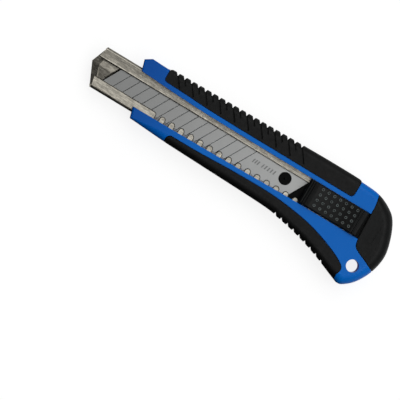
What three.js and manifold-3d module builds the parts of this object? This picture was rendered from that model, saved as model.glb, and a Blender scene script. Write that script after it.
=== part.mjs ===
// Snap-off utility knife with a steel blade channel, a two-material handle,
// a self-locking thumb slider and a pull-off end cap.
//
// Millimetres. X runs from the tip of the channel (x = 0) to the tail, Y from the belly
// to the spine with y = 0 on the channel's centre line, and Z up to the slider side.
// The knife lies on the grip bumps of its back at z = 0.
import * as THREE from 'three';
import { mergeVertices } from 'three/addons/utils/BufferGeometryUtils.js';
import Module from 'manifold-3d';

const wasm = await Module();
wasm.setup();

// ---- Driving dimensions -------------------------------------------------------------

const GAP = 0.25; // between pieces that touch on the real knife

// Snap-off blade
const BLADE_WIDTH = 18;
const BLADE_LENGTH = 100.6;
const BLADE_THICKNESS = 0.5;
const EDGE_GRIND = 1.6; // width of the ground cutting edge
const EDGE_LAND = 0.06; // thickness left at the cutting edge
const SCORE_COUNT = 14;
const SCORE_PITCH = 5.2;
const SCORE_WIDTH = 0.45;
const SCORE_DEPTH = 0.12;
const SLANT = 0.542; // run along the blade for each millimetre across it
const BLADE_HOLE_RADIUS = 3.05;
const HOLE_TO_REAR = 7.85;
const HOLE_Y = 0.4;

// Steel channel
const SHEET = 0.8;
const BLADE_SIDE_PLAY = 0.2;
const CHANNEL_ROOM = 2.2; // inside height
const LIP_WIDTH = 5.7; // from the channel's side to the slot
const BEND_RADIUS = 1.3;
const TOOTH_PITCH = 5.1;
const TOOTH_WIDTH = 2.7;
const TOOTH_DEPTH = 3.4;
const FULL_LIP = 37; // the lower lip has no notches for at least this far
const LIP_END_RADIUS = 1.4; // of the full lip's last corner
const CHANNEL_BEHIND_CAP = 2.3; // from the channel's rear end to the cap's joint
const SLOT_TAIL = 2; // left without teeth before the channel's rear end
const BOSS_WALL = 0.6; // of the boss, in plan
const BOSS_HEIGHT = 0.6; // stamped stiffening boss in the nose

// Handle
const HANDLE_START = 20.7;
const HANDLE_LENGTH = 141.7;
const HANDLE_THICKNESS = 15.1;
const RIM_HEIGHT = 3.6; // how far the handle's front stands above the channel's lips
const CAP_LENGTH = 15.6;
const LANYARD_RADIUS = 3.03;
const NOSE_ROUND = { back: 1.2, front: 1 }; // edge rounding at the nose
const PALM_ROUND = { back: 3.2, front: 2.4, belly: 5.5 }; // along the rest, and the belly's back

// Soft grip
const GRIP_BACK = 1.6; // thickness over the back
const GRIP_SIDE = 2.6; // thickness over the spine and the belly
const GRIP_FRONT = 2.0; // thickness of the two strips on the front
const BUMP_HEIGHT = 0.9;
const BUMP_RADIUS = 1.75;
const BUMP_TIP_RADIUS = 1.1;
const SPINE_NOTCHES = 19;
const SPINE_NOTCH_PITCH = 3.66;
const BELLY_NOTCHES = 9;
const BELLY_NOTCH_PITCH = 3.65;
const NOTCH_DEPTH = 1.3;
const NOTCH_SLANTED = 1.3; // run of a notch's slanted flank at the edge
const NOTCH_STEEP = 0.9; // the same for its steep flank

// Thumb slider
const SLIDER_LENGTH = 31;
const SLIDER_SIDE_PLAY = 0.5;
const SLIDER_STANDS = 2.2; // above the handle's front
const SLIDER_NOSE = 2.6; // height of the slider's front end
const SLIDER_REAR_RADIUS = 1.2;
const RAMP_LENGTH = 5.4; // ribbed, at the slider's front
const REST_LENGTH = 4.4; // ribbed, at the slider's rear
const DISH_DEPTH = 1.6; // of the curve's control point between them
const RIB_HALF = 0.35; // half the width of one thumb rib
const SLIDER_FLOAT = 0.8; // each way, on the carrier
const FLOAT_CLEARANCE = 0.2; // left at each end of the float

// Blade carrier, its pin and the lock spring
const PIN_CLEARANCE = 0.3; // round the pin, in the blade's hole
const PIN_STANDS = 0.35; // above the blade
const PIN_AHEAD = 10.4; // from the slider's front end to the pin
const CARRIER_SIDE_PLAY = 0.5;
const TONGUE_THICKNESS = 0.65;
const TONGUE_REACH = 6; // ahead of the pin
const TONGUE_HALF = 4.6; // half its width, each side of the pin
const NECK_SIDE_PLAY = 1.1; // each side of the neck, in the channel's slot
const NECK_FROM_FRONT = 7.5; // from the slider's front end
const NECK_FROM_REAR = 7; // from the slider's rear end
const FLANGE_OVERHANG = 1; // of the flange beyond the neck, each side
const FLANGE_THICKNESS = 1;
const RETAINER = 0.8; // thickness of the slider's lips under the flange
const SLIDER_PLAY = 0.3; // round the neck and the flange
const HOOK_BEHIND = 6.35; // from the slider's front end to the lock hook
const HOOK_CLEARANCE = 0.4; // each side of the hook, between two teeth
const SPRING_WIDTH = 1.6;
const SPRING_THICKNESS = 0.35;
const SPRING_LENGTH = 18;
const SPRING_BENDS = [1, 4, 9]; // behind the hook, where the spring leaves it and runs level
const HOOK_CHAMFER = 0.3;
const HOOK_BELOW_LIP = 0.1; // from the channel's top to the hook's tip
const SPRING_SEAT = 0.95; // from the tongue's underside to the spring
const CARRIER_SHORT = 2; // from the carrier's rear end to the channel's

// End cap's plug
const PLUG_LENGTH = 16;
const PLUG_WIDTH = 9;
const POCKET_WALL = 1;
const CAP_WALL = 2.2;
const CAP_HOLLOW = 6.5; // depth of the cap's hollow
const CAP_HOLLOW_FOOT = -5;
const CAP_HOLLOW_TOP = 8;

const OUTLINE_STEPS = 4; // points along each span of a drawn curve
const ROUND_STEPS = 3; // facets across a rounded edge
const FAR = 60; // reach of a cutter beyond the knife

// ---- Places that follow from them ----------------------------------------------------

const TAIL = HANDLE_START + HANDLE_LENGTH;
const BACK = BUMP_HEIGHT;
const FRONT = BACK + HANDLE_THICKNESS;

const BLADE_ROOM = BLADE_WIDTH / 2 + BLADE_SIDE_PLAY;
const CHANNEL_HALF = BLADE_ROOM + SHEET;
const SLOT_HALF = CHANNEL_HALF - LIP_WIDTH;
const LIP_TOP = FRONT - RIM_HEIGHT;
const LIP_UNDERSIDE = LIP_TOP - SHEET;
const CHANNEL_FLOOR = LIP_UNDERSIDE - CHANNEL_ROOM;
const CHANNEL_BOTTOM = CHANNEL_FLOOR - SHEET;

const SLIDER_END = TAIL - CAP_LENGTH - SLIDER_FLOAT - FLOAT_CLEARANCE;
const SLIDER_START = SLIDER_END - SLIDER_LENGTH;
const PIN_X = SLIDER_START - PIN_AHEAD;
const BLADE_REAR = PIN_X + HOLE_TO_REAR;
const HOOK_X = SLIDER_START + HOOK_BEHIND;
const NOTCH_COUNT = Math.floor((HOOK_X - FULL_LIP) / TOOTH_PITCH);
const CHANNEL_END = TAIL - CAP_LENGTH - CHANNEL_BEHIND_CAP;
const CARRIER_END = CHANNEL_END - CARRIER_SHORT;

const TONGUE_BOTTOM = CHANNEL_FLOOR + GAP;
const BLADE_BOTTOM = TONGUE_BOTTOM + TONGUE_THICKNESS + GAP;
const CARRIER_TOP = LIP_UNDERSIDE - GAP;
const SLIDER_BOTTOM = LIP_TOP + GAP;

const PIN_RADIUS = BLADE_HOLE_RADIUS - PIN_CLEARANCE;
const NECK_HALF = SLOT_HALF - NECK_SIDE_PLAY;
const FLANGE_HALF = NECK_HALF + FLANGE_OVERHANG;
const FLANGE_LOW = SLIDER_BOTTOM + RETAINER + SLIDER_PLAY;
const HOOK_LENGTH = TOOTH_PITCH - TOOTH_WIDTH - 2 * HOOK_CLEARANCE;
const SPRING_Y = -(SLOT_HALF + SPRING_WIDTH);
const SPRING_LOW = TONGUE_BOTTOM + SPRING_SEAT;

// The curves below are drawn for a handle 141.7 mm long around a channel 20 mm wide.
// along() and across() carry a drawn point to the sizes above: the nose and the tail
// keep their shape, and the middle stretches.
const DRAWN = { start: 20.7, length: 141.7, noseEnd: 61, tailStart: 101, channelHalf: 10 };

function along(x) {
  const nose = HANDLE_START - DRAWN.start;
  const tail = nose + HANDLE_LENGTH - DRAWN.length;
  const share = (x - DRAWN.noseEnd) / (DRAWN.tailStart - DRAWN.noseEnd);
  return x + THREE.MathUtils.lerp(nose, tail, THREE.MathUtils.clamp(share, 0, 1));
}

function across(y) {
  if (Math.abs(y) < DRAWN.channelHalf) return y * CHANNEL_HALF / DRAWN.channelHalf;
  return y + Math.sign(y) * (CHANNEL_HALF - DRAWN.channelHalf);
}

const drawn = (points) => points.map(([x, y]) => new THREE.Vector2(along(x), across(y)));

// Handle outline: nose corners first, then one curve round the spine, tail and belly.
// The soft grip stands a little proud of the hard body along the spine.
const NOSE_TOP = drawn([[20.7, 13.8]])[0];
const NOSE_FOOT = drawn([[28.8, -12.8]])[0];
const BODY_SPINE = drawn([
  [24, 15.9], [33.5, 15.7], [53, 16.1], [105, 17.2], [121, 17.5], [135.3, 17.4],
]);
const GRIP_SPINE = drawn([
  [24, 16.1], [33.5, 16.5], [53, 16.9], [105, 17.9], [121, 18.1], [135.3, 17.9],
]);
const TAIL_AND_BELLY = drawn([
  [145.5, 16.5], [153, 13.2], [157.2, 9], [160.7, 1.2], [162.4, -7.1], [160.8, -15.8],
  [157, -23.1], [152.6, -27.3], [149.8, -28.3], [146.8, -27.3], [133.5, -22.3],
  [122, -18.9], [111, -16.7], [101, -15.4], [61, -14.3], [47.7, -13.9], [31, -12.9],
]);

// Where the soft grip begins and ends on the back, spine and belly, from top to bottom.
const GRIP_FRONT_EDGE = drawn([
  [33.6, 19], [32.6, 12.6], [34, 7], [39.2, 1.5], [43.8, -4.2], [46.2, -10], [47.9, -16],
]);
const GRIP_REAR_EDGE = drawn([
  [135.3, 19], [135.8, 9], [138.1, 1.5], [144.4, -11], [147.7, -18.3], [148.6, -23], [147.9, -29],
]);

// Inner edges of the grip's two strips on the front.
const SPINE_STRIP_EDGE = drawn([[30, 10.4], [45, 9.9], [71, 9.2], [165, 9.2]]);
const BELLY_STRIP_EDGE = drawn([
  [30, -10.2], [61, -10.1], [81, -9.3], [101, -9.1], [115, -10.3], [127, -12.5],
  [139, -16.5], [146, -19.8], [148.3, -22.8], [148.6, -25.4],
]);

// Inner edges of the window in the front, which the slider runs in.
const WINDOW_TOP = drawn([[8, 9.1], [31, 8.1], [45, 7.4], [71, 6.9], [156, 6.9]]);
const WINDOW_FOOT = drawn([[8, -7.6], [45, -7.4], [81, -6.9], [111, -6.3], [156, -6.1]]);

// Joint between the handle and the end cap, from top to bottom.
const CAP_EDGE = drawn([
  [145.4, 22], [145.6, 16.6], [146.5, 12], [146.8, 7], [147.2, -2], [147.6, -6.4],
  [148.6, -9.4], [151, -11], [155, -12.7], [161, -15.4], [172, -20.2],
]);

const LANYARD = drawn([[151.6, -18]])[0];

// The rounded edges draw in towards a line from one of these points to the other.
const [CORE_FRONT, CORE_REAR] = drawn([[45, 1], [147, -6]]);
const TUNNEL_END = along(156);
const SPINE_NOTCHES_START = along(37.4);
const SPINE_NOTCHES_END = along(130);
const BELLY_NOTCHES_START = along(108.8);
const BELLY_ROUND_END = along(148);

// Rows of bumps on the back: first and last bump along the handle, and the row's line.
const BUMP_PITCH = 8.4;
const BUMP_ROWS = [
  { first: 44, last: 128, line: [[40, 8.3], [90, 8.5], [130, 8.7]] },
  { first: 48, last: 132, line: [[40, 0.6], [90, 0.6], [134, -0.8]] },
  { first: 52.2, last: 136.2, line: [[50, -6.8], [98, -6.9], [112, -8.2], [137, -13.1]] },
];

// ---- Making solids -------------------------------------------------------------------

function solid(geometry) {
  geometry.deleteAttribute('normal');
  geometry.deleteAttribute('uv');
  const merged = mergeVertices(geometry, 1e-4);
  return new wasm.Manifold(new wasm.Mesh({
    numProp: 3,
    vertProperties: Float32Array.from(merged.attributes.position.array),
    triVerts: Uint32Array.from(merged.index.array),
  }));
}

function part(name, body, material) {
  const mesh = body.getMesh();
  const geometry = new THREE.BufferGeometry();
  geometry.setAttribute('position', new THREE.BufferAttribute(mesh.vertProperties, 3));
  geometry.setIndex(new THREE.BufferAttribute(mesh.triVerts, 1));
  geometry.computeVertexNormals();
  const made = new THREE.Mesh(geometry, material);
  made.name = name;
  return made;
}

function box(x0, x1, y0, y1, z0, z1) {
  const geometry = new THREE.BoxGeometry(x1 - x0, y1 - y0, z1 - z0);
  return solid(geometry.translate((x0 + x1) / 2, (y0 + y1) / 2, (z0 + z1) / 2));
}

function cylinder(x, y, z0, z1, radius, sides = 28) {
  const geometry = new THREE.CylinderGeometry(radius, radius, z1 - z0, sides);
  return solid(geometry.rotateX(Math.PI / 2).translate(x, y, (z0 + z1) / 2));
}

const flat = { bevelEnabled: false, curveSegments: 6 };

// A plan shape raised from z0 to z1.
function prism(shape, z0, z1) {
  return solid(new THREE.ExtrudeGeometry(shape, { ...flat, depth: z1 - z0 }).translate(0, 0, z0));
}

// A section drawn in (y, z), run from x0 to x1.
function alongX(shape, x0, x1) {
  const turn = new THREE.Matrix4().makeBasis(
    new THREE.Vector3(0, 1, 0), new THREE.Vector3(0, 0, 1), new THREE.Vector3(1, 0, 0));
  const geometry = new THREE.ExtrudeGeometry(shape, { ...flat, depth: x1 - x0 });
  return solid(geometry.applyMatrix4(turn).translate(x0, 0, 0));
}

// A profile drawn in (x, z), run from y0 to y1.
function alongY(shape, y0, y1) {
  const geometry = new THREE.ExtrudeGeometry(shape, { ...flat, depth: y1 - y0 });
  return solid(geometry.rotateX(Math.PI / 2).translate(0, y1, 0));
}

function polygon(points) {
  return new THREE.Shape(points.map(([x, y]) => new THREE.Vector2(x, y)));
}

const curve = (points) => new THREE.SplineCurve(points).getPoints(points.length * OUTLINE_STEPS);
const moved = (points, dx, dy) => points.map((p) => new THREE.Vector2(p.x + dx, p.y + dy));

// A rectangle with rounded corners, as a closed list of points.
function roundedRectangle(halfWidth, low, high, radius) {
  const path = new THREE.Path();
  path.absarc(halfWidth - radius, low + radius, radius, -Math.PI / 2, 0);
  path.absarc(halfWidth - radius, high - radius, radius, 0, Math.PI / 2);
  path.absarc(radius - halfWidth, high - radius, radius, Math.PI / 2, Math.PI);
  path.absarc(radius - halfWidth, low + radius, radius, Math.PI, 1.5 * Math.PI);
  return path.getPoints(4);
}

// ---- The handle's outer body ---------------------------------------------------------

// Outline anticlockwise from above. Each point has an inner point that its rounded
// edges draw in towards: straight across along the grip, and one centre in the tail.
function outlinePoints(spine) {
  const rim = curve([...spine, ...TAIL_AND_BELLY]);
  const points = [NOSE_TOP, ...rim, NOSE_FOOT].reverse();
  return points.map((edge) => {
    const x = THREE.MathUtils.clamp(edge.x, CORE_FRONT.x, CORE_REAR.x);
    const y = THREE.MathUtils.mapLinear(x, CORE_FRONT.x, CORE_REAR.x, CORE_FRONT.y, CORE_REAR.y);
    return { edge, core: new THREE.Vector2(x, y) };
  });
}

const bodyOutline = outlinePoints(BODY_SPINE);
const gripOutline = outlinePoints(GRIP_SPINE);

// Edge rounding: small round the nose, larger on the back than on the front, and
// largest where the belly meets the palm.
const { clamp, lerp } = THREE.MathUtils;
const ROUND_FADE = 14; // length over which one rounding passes into the next
const awayFromNose = ({ edge }) => clamp((edge.x - HANDLE_START - 6) / ROUND_FADE, 0, 1);

function backRound(p) {
  const belly = clamp((-p.edge.y - 8) / 4, 0, 1)
    * clamp((BELLY_ROUND_END - p.edge.x) / ROUND_FADE, 0, 1);
  const palm = lerp(PALM_ROUND.back, PALM_ROUND.belly, belly);
  return lerp(NOSE_ROUND.back, palm, awayFromNose(p));
}

const frontRound = (p) => lerp(NOSE_ROUND.front, PALM_ROUND.front, awayFromNose(p));

// A closed body with the outline's plan and rounded upper and lower edges.
function pillow(outline, inset, low, high) {
  const rings = [];
  const level = (distance, height) => rings.push(outline.map((p) => {
    const share = (inset + distance(p)) / p.edge.distanceTo(p.core);
    const at = p.edge.clone().lerp(p.core, share);
    return new THREE.Vector3(at.x, at.y, height(p));
  }));
  for (let k = 0; k <= ROUND_STEPS; k++) {
    const turn = k / ROUND_STEPS * Math.PI / 2;
    level((p) => backRound(p) * (1 - Math.sin(turn)), (p) => low + backRound(p) * (1 - Math.cos(turn)));
  }
  for (let k = 0; k <= ROUND_STEPS; k++) {
    const turn = k / ROUND_STEPS * Math.PI / 2;
    level((p) => frontRound(p) * (1 - Math.cos(turn)), (p) => high - frontRound(p) * (1 - Math.sin(turn)));
  }
  return closedSkin(rings);
}

// Rings of equal count, from the lowest to the highest, closed by flat ends.
function closedSkin(rings) {
  const count = rings[0].length;
  const faces = [];
  for (let j = 0; j + 1 < rings.length; j++) {
    for (let i = 0; i < count; i++) {
      const next = (i + 1) % count;
      const [a, b] = [j * count + i, j * count + next];
      faces.push(a, b, b + count, a, b + count, a + count);
    }
  }
  const cap = (ring) => THREE.ShapeUtils.triangulateShape(
    ring.map((p) => new THREE.Vector2(p.x, p.y)), []);
  const top = (rings.length - 1) * count;
  for (const [a, b, c] of cap(rings[0])) faces.push(c, b, a);
  for (const [a, b, c] of cap(rings.at(-1))) faces.push(top + a, top + b, top + c);
  const geometry = new THREE.BufferGeometry().setFromPoints(rings.flat());
  geometry.setIndex(faces);
  return solid(geometry);
}

const bodyHull = pillow(bodyOutline, 0, BACK, FRONT);
const gripHull = pillow(gripOutline, 0, BACK, FRONT);
const rimLow = FRONT - GRIP_FRONT - 1; // the body's front rim starts inside its core

// Plan areas. Each can be grown by a gap so that the neighbour's cut leaves it clear.
function gripArea(grow) {
  const front = moved(curve(GRIP_FRONT_EDGE), -grow, 0);
  const rear = moved(curve(GRIP_REAR_EDGE), grow, 0).reverse();
  const foot = [new THREE.Vector2(front.at(-1).x, -FAR), new THREE.Vector2(rear[0].x, -FAR)];
  const head = [new THREE.Vector2(rear.at(-1).x, FAR), new THREE.Vector2(front[0].x, FAR)];
  return new THREE.Shape([...front, ...foot, ...rear, ...head]);
}

function rimArea(grow) {
  const top = moved(curve(SPINE_STRIP_EDGE), 0, grow);
  const foot = moved(curve(BELLY_STRIP_EDGE), 0, -grow).reverse();
  const tail = new THREE.Vector2(TAIL + FAR, foot[0].y);
  return new THREE.Shape([...top, new THREE.Vector2(TAIL + FAR, top[0].y), tail, ...foot]);
}

function capArea(grow) {
  const edge = moved(curve(CAP_EDGE), -grow, -grow);
  const foot = new THREE.Vector2(TAIL + FAR, edge.at(-1).y);
  return new THREE.Shape([...edge, foot, new THREE.Vector2(TAIL + FAR, edge[0].y)]);
}

// ---- Sub-parts -----------------------------------------------------------------------

const PLUG_Z = {
  low: BACK + GRIP_BACK + GAP + POCKET_WALL,
  high: CHANNEL_BOTTOM - GAP - POCKET_WALL,
};

function handleBody() {
  const inside = pillow(gripOutline, GRIP_SIDE + GAP, BACK + GRIP_BACK + GAP, FRONT - GRIP_FRONT - GAP);
  const rim = bodyHull.intersect(prism(rimArea(0), rimLow, FRONT + FAR));
  const ends = bodyHull.subtract(prism(gripArea(GAP), -FAR, FAR));
  const window = new THREE.Shape([...curve(WINDOW_TOP), ...curve(WINDOW_FOOT).reverse()]);
  return ends.add(inside).add(rim)
    .subtract(prism(capArea(GAP), -FAR, FAR))
    .subtract(box(0, TUNNEL_END, -CHANNEL_HALF - GAP, CHANNEL_HALF + GAP, CHANNEL_BOTTOM - GAP, LIP_TOP + GAP))
    .subtract(prism(window, LIP_UNDERSIDE, FRONT + FAR))
    .subtract(box(TAIL - CAP_LENGTH - PLUG_LENGTH - GAP, TUNNEL_END,
      -PLUG_WIDTH / 2 - GAP, PLUG_WIDTH / 2 + GAP, PLUG_Z.low, PLUG_Z.high))
    .subtract(cylinder(LANYARD.x, LANYARD.y, -FAR, FAR, LANYARD_RADIUS));
}

// A saw-tooth notch cut into an edge: steep on one side and slanted on the other.
function notch(x, edgeY, inwards, steepTowardsTail) {
  const way = steepTowardsTail ? 1 : -1;
  const outside = edgeY - inwards * FAR / 10;
  const floor = edgeY + inwards * NOTCH_DEPTH;
  const [slanted, steep] = [x - way * NOTCH_SLANTED, x + way * NOTCH_STEEP];
  const floorHalf = NOTCH_STEEP / 2;
  return prism(polygon([
    [slanted, outside], [slanted, edgeY], [x - way * floorHalf / 2, floor],
    [x + way * floorHalf, floor], [steep, edgeY], [steep, outside],
  ]), -FAR, FAR);
}

// Height of the grip's outline at x, on the spine (side 1) or the belly (side -1).
function edgeAt(x, side) {
  const near = gripOutline.filter(({ edge, core }) => (edge.y - core.y) * side > 0)
    .sort((a, b) => Math.abs(a.edge.x - x) - Math.abs(b.edge.x - x));
  const [p, q] = [near[0].edge, near[1].edge];
  return THREE.MathUtils.mapLinear(x, p.x, q.x, p.y, q.y);
}

function heightOnLine(points, x) {
  const line = curve(drawn(points));
  const end = line.findIndex((p) => p.x > x);
  const [p, q] = end > 0 ? [line[end - 1], line[end]] : line.slice(-2);
  return THREE.MathUtils.mapLinear(x, p.x, q.x, p.y, q.y);
}

function gripOvermould() {
  let grip = gripHull.intersect(prism(gripArea(0), -FAR, FAR))
    .subtract(pillow(gripOutline, GRIP_SIDE, BACK + GRIP_BACK, FRONT - GRIP_FRONT))
    .subtract(prism(rimArea(GAP), rimLow - GAP, FRONT + FAR));
  for (let k = 0; k < SPINE_NOTCHES; k++) {
    const x = SPINE_NOTCHES_START + k * SPINE_NOTCH_PITCH;
    if (x < SPINE_NOTCHES_END) grip = grip.subtract(notch(x, edgeAt(x, 1), -1, true));
  }
  for (let k = 0; k < BELLY_NOTCHES; k++) {
    const x = BELLY_NOTCHES_START + k * BELLY_NOTCH_PITCH;
    grip = grip.subtract(notch(x, edgeAt(x, -1), 1, false));
  }
  for (const row of BUMP_ROWS) {
    const end = along(row.last) + BUMP_PITCH / 4;
    for (let x = along(row.first); x < end; x += BUMP_PITCH) {
      grip = grip.add(bump(x, heightOnLine(row.line, x)));
    }
  }
  return grip;
}

// A low grip bump on the back with a flat tip at z = 0.
function bump(x, y) {
  const root = BACK + GRIP_BACK / 2;
  const rise = (BUMP_RADIUS - BUMP_TIP_RADIUS) / BUMP_HEIGHT;
  const geometry = new THREE.CylinderGeometry(BUMP_RADIUS + rise * (root - BACK), BUMP_TIP_RADIUS, root, 10);
  return solid(geometry.rotateX(Math.PI / 2).translate(x, y, root / 2));
}

function bladeChannel() {
  const section = new THREE.Shape(roundedRectangle(CHANNEL_HALF, CHANNEL_BOTTOM, LIP_TOP, BEND_RADIUS));
  const bendInside = BEND_RADIUS - SHEET;
  section.holes.push(new THREE.Path(roundedRectangle(BLADE_ROOM, CHANNEL_FLOOR, LIP_UNDERSIDE, bendInside)));
  const half = CHANNEL_HALF;
  const nosePlan = polygon([
    [3.3, half], [0, across(1.1)], [5.2, -half], [5.2, -FAR], [CHANNEL_END, -FAR], [CHANNEL_END, FAR], [3.3, FAR],
  ]);
  // The lips end a little behind the nose, so that its floor shows past them.
  const lipTrim = polygon([
    [3.5, half], [1.9, across(4.6)], [4.4, across(-4.4)], [5.7, -half], [5.7, -FAR], [-FAR, -FAR],
    [-FAR, FAR], [3.5, FAR],
  ]);
  const boss = across(1);
  const bossPlan = (inset) => polygon([
    [5.4 + inset, boss * 8.2], [12.7 - inset, boss * 7.1], [10.4 - inset, boss * 0.6],
    [13.6 - inset, -boss * 6.4], [7.4 + inset, -boss * 7.8], [3 + inset, boss * 1.1],
  ]);
  return alongX(section, -1, CHANNEL_END)
    .intersect(prism(nosePlan, -FAR, FAR))
    .subtract(prism(lipTrim, LIP_UNDERSIDE, FAR))
    .subtract(prism(slotPlan(), LIP_UNDERSIDE - GAP, FAR))
    .subtract(prism(bossPlan(BOSS_WALL), CHANNEL_FLOOR - BOSS_HEIGHT, LIP_UNDERSIDE))
    .add(prism(bossPlan(0), CHANNEL_BOTTOM - BOSS_HEIGHT, CHANNEL_FLOOR - BOSS_HEIGHT));
}

// Plan of the channel's slot, with the lock's notches along its lower side.
function slotPlan() {
  const half = TOOTH_WIDTH / 2;
  const foot = -SLOT_HALF - TOOTH_DEPTH;
  const shape = new THREE.Shape();
  shape.moveTo(-FAR, SLOT_HALF);
  shape.lineTo(-FAR, -SLOT_HALF);
  const lipEnd = HOOK_X - NOTCH_COUNT * TOOTH_PITCH - (TOOTH_PITCH - TOOTH_WIDTH) / 2;
  const corner = LIP_END_RADIUS;
  shape.lineTo(lipEnd - corner, -SLOT_HALF);
  shape.absarc(lipEnd - corner, -SLOT_HALF - corner, corner, Math.PI / 2, 0, true);
  shape.lineTo(lipEnd, foot);
  for (let k = NOTCH_COUNT; ; k--) {
    const tooth = HOOK_X - (k - 0.5) * TOOTH_PITCH;
    if (tooth + half > CHANNEL_END - SLOT_TAIL) break;
    shape.lineTo(tooth - half, foot);
    shape.absarc(tooth, -SLOT_HALF - half, half, Math.PI, 0, true);
    shape.lineTo(tooth + half, foot);
  }
  shape.lineTo(CHANNEL_END + FAR, foot);
  shape.lineTo(CHANNEL_END + FAR, SLOT_HALF);
  return shape;
}

function blade() {
  const half = BLADE_WIDTH / 2;
  const top = BLADE_BOTTOM + BLADE_THICKNESS;
  const middle = BLADE_BOTTOM + BLADE_THICKNESS / 2;
  const section = polygon([
    [-half, middle - EDGE_LAND / 2], [EDGE_GRIND - half, BLADE_BOTTOM], [half, BLADE_BOTTOM],
    [half, top], [EDGE_GRIND - half, top], [-half, middle + EDGE_LAND / 2],
  ]);
  const slanted = (x, y) => [x + SLANT * y, y];
  const front = BLADE_REAR - BLADE_LENGTH;
  const plan = polygon([
    slanted(front, -FAR), slanted(BLADE_REAR, -FAR), slanted(BLADE_REAR, FAR), slanted(front, FAR),
  ]);
  let strip = alongX(section, front - FAR, BLADE_REAR + FAR).intersect(prism(plan, -FAR, FAR))
    .subtract(cylinder(PIN_X, HOLE_Y, -FAR, FAR, BLADE_HOLE_RADIUS));
  for (let k = 1; k <= SCORE_COUNT; k++) {
    strip = strip.subtract(scoreLine(front + k * SCORE_PITCH, top));
  }
  return strip;
}

// A shallow V groove across the blade's face, along the snapping line through x.
function scoreLine(x, top) {
  const groove = new THREE.Shape();
  groove.moveTo(-SCORE_WIDTH, SCORE_DEPTH);
  groove.lineTo(0, -SCORE_DEPTH);
  groove.lineTo(SCORE_WIDTH, SCORE_DEPTH);
  const geometry = new THREE.ExtrudeGeometry(groove, { ...flat, depth: 2 * BLADE_WIDTH });
  geometry.translate(0, 0, -BLADE_WIDTH).rotateX(Math.PI / 2).rotateZ(-Math.atan(SLANT));
  return solid(geometry.translate(x, 0, top));
}

function bladeCarrier() {
  const side = BLADE_ROOM - CARRIER_SIDE_PLAY;
  const bladeTop = BLADE_BOTTOM + BLADE_THICKNESS;
  const front = (y) => [BLADE_REAR + SLANT * y + GAP, y];
  const body = prism(polygon([front(-side), [CARRIER_END, -side], [CARRIER_END, side], front(side)]),
    TONGUE_BOTTOM, CARRIER_TOP);
  const tongueTop = TONGUE_BOTTOM + TONGUE_THICKNESS;
  const tongue = box(PIN_X - TONGUE_REACH, BLADE_REAR + SLANT * side,
    HOLE_Y - TONGUE_HALF, HOLE_Y + TONGUE_HALF, TONGUE_BOTTOM, tongueTop);
  const pin = cylinder(PIN_X, HOLE_Y, tongueTop - TONGUE_THICKNESS / 2, bladeTop + PIN_STANDS, PIN_RADIUS);
  const neckStart = SLIDER_START + NECK_FROM_FRONT;
  const neckEnd = SLIDER_END - NECK_FROM_REAR;
  const neck = box(neckStart, neckEnd, -NECK_HALF, NECK_HALF, tongueTop, FLANGE_LOW + FLANGE_THICKNESS / 2);
  const flange = box(neckStart, neckEnd, -FLANGE_HALF, FLANGE_HALF, FLANGE_LOW, FLANGE_LOW + FLANGE_THICKNESS);
  const groove = box(HOOK_X - HOOK_LENGTH / 2 - 2 * GAP, HOOK_X + SPRING_LENGTH + 2 * GAP,
    SPRING_Y - SPRING_WIDTH / 2 - GAP, SPRING_Y + SPRING_WIDTH / 2 + GAP, SPRING_LOW - GAP, FAR);
  return body.add(tongue).add(pin).subtract(groove).add(neck).add(flange);
}

// Leaf spring whose hook stands up between two of the channel's teeth.
function lockSpring() {
  const tip = LIP_TOP - HOOK_BELOW_LIP;
  const front = HOOK_X - HOOK_LENGTH / 2;
  const [root, bend, level] = SPRING_BENDS.map((distance) => HOOK_X + distance);
  const above = SPRING_LOW + SPRING_THICKNESS;
  const shape = new THREE.Shape();
  shape.moveTo(HOOK_X + SPRING_LENGTH, SPRING_LOW);
  shape.lineTo(HOOK_X + SPRING_LENGTH, above);
  shape.lineTo(level, above);
  shape.quadraticCurveTo(bend, above, root, above + SPRING_THICKNESS);
  shape.lineTo(HOOK_X + HOOK_LENGTH / 2, tip);
  shape.lineTo(front + HOOK_CHAMFER, tip);
  shape.lineTo(front, tip - HOOK_CHAMFER);
  shape.lineTo(front + HOOK_CHAMFER, SPRING_LOW + HOOK_CHAMFER);
  shape.quadraticCurveTo(bend, SPRING_LOW, level, SPRING_LOW);
  return alongY(shape, SPRING_Y - SPRING_WIDTH / 2, SPRING_Y + SPRING_WIDTH / 2);
}

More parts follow.
